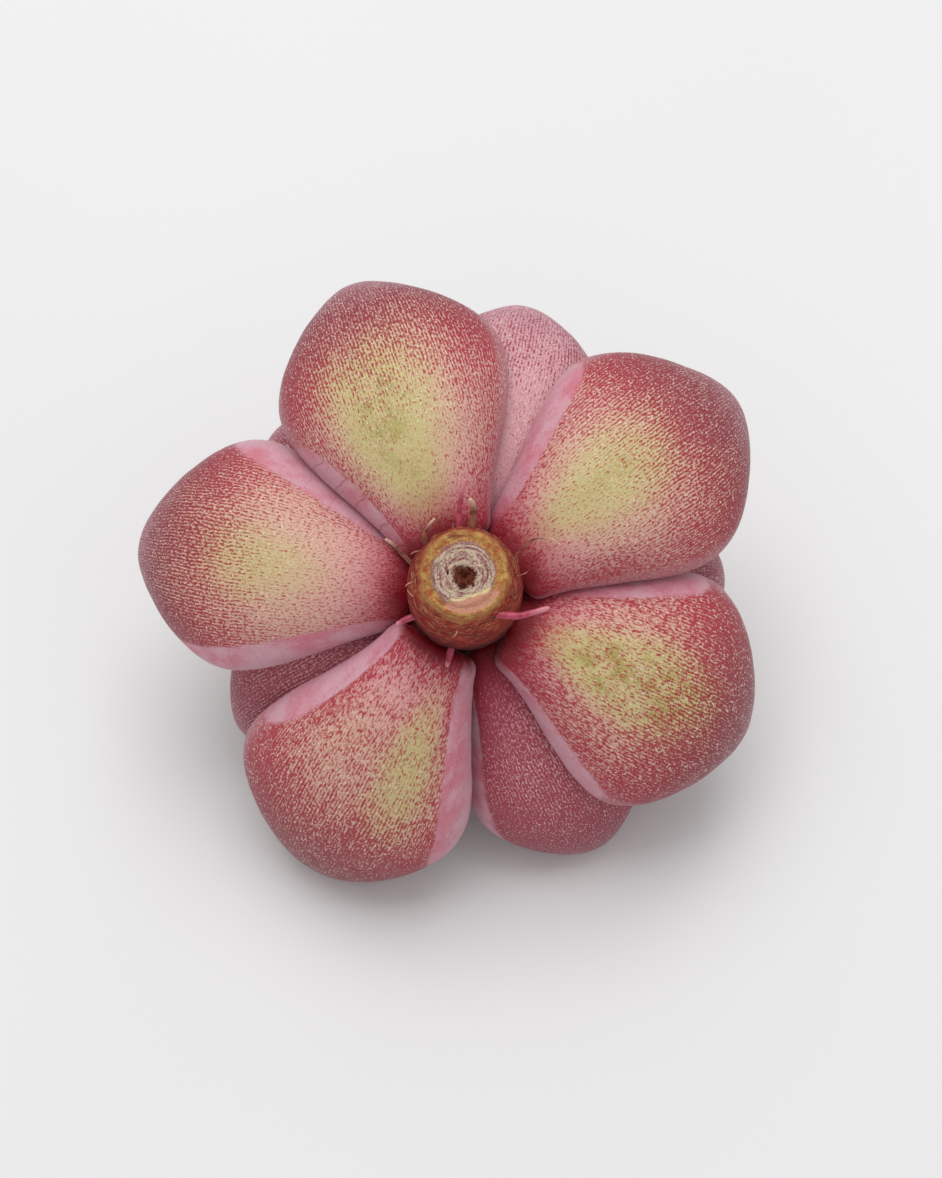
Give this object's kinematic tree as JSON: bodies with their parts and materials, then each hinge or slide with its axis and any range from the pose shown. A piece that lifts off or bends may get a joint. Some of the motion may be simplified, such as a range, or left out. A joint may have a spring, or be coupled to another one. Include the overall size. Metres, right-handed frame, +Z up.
{
  "type": "cut echeveria rosette",
  "caption": "Thick-leaved succulent rosette with a short cut stem, lying tipped over on its face with the stem end up.",
  "frame": {"origin": "on the surface the plant lies on, under the middle of its bounding box", "axes": "+Z up from the surface; the cut stem leans from straight up towards -Y, so the rosette's face looks down and towards +Y; +X to the right seen from the stem's side"},
  "size_m": [0.0644, 0.0574, 0.0452],
  "materials": {
    "leaf": "satin",
    "young_leaf": "satin",
    "stem": "matte",
    "live_root": "satin",
    "dry_root": "matte"
  },
  "bodies": {
    "root": {"stem": "stem", "outer_leaf_1": "leaf", "outer_leaf_2": "leaf", "outer_leaf_3": "leaf", "outer_leaf_4": "leaf", "outer_leaf_5": "leaf", "second_leaf_1": "leaf", "second_leaf_2": "leaf", "second_leaf_3": "leaf", "second_leaf_4": "leaf", "second_leaf_5": "leaf", "third_leaf_1": "leaf", "third_leaf_2": "leaf", "third_leaf_3": "leaf", "third_leaf_4": "leaf", "third_leaf_5": "leaf", "fourth_leaf_1": "young_leaf", "fourth_leaf_2": "young_leaf", "fourth_leaf_3": "young_leaf", "fourth_leaf_4": "young_leaf", "fourth_leaf_5": "young_leaf", "inner_leaf_1": "young_leaf", "inner_leaf_2": "young_leaf", "inner_leaf_3": "young_leaf", "inner_leaf_4": "young_leaf", "inner_leaf_5": "young_leaf", "heart_leaf_1": "young_leaf", "heart_leaf_2": "young_leaf", "heart_leaf_3": "young_leaf", "pink_root_1": "live_root", "pink_root_2": "live_root", "pink_bud_1": "live_root", "pink_bud_2": "live_root", "dry_root_1": "dry_root", "dry_root_2": "dry_root", "dry_root_3": "dry_root", "hair_root": "dry_root"}
  },
  "joints": []
}
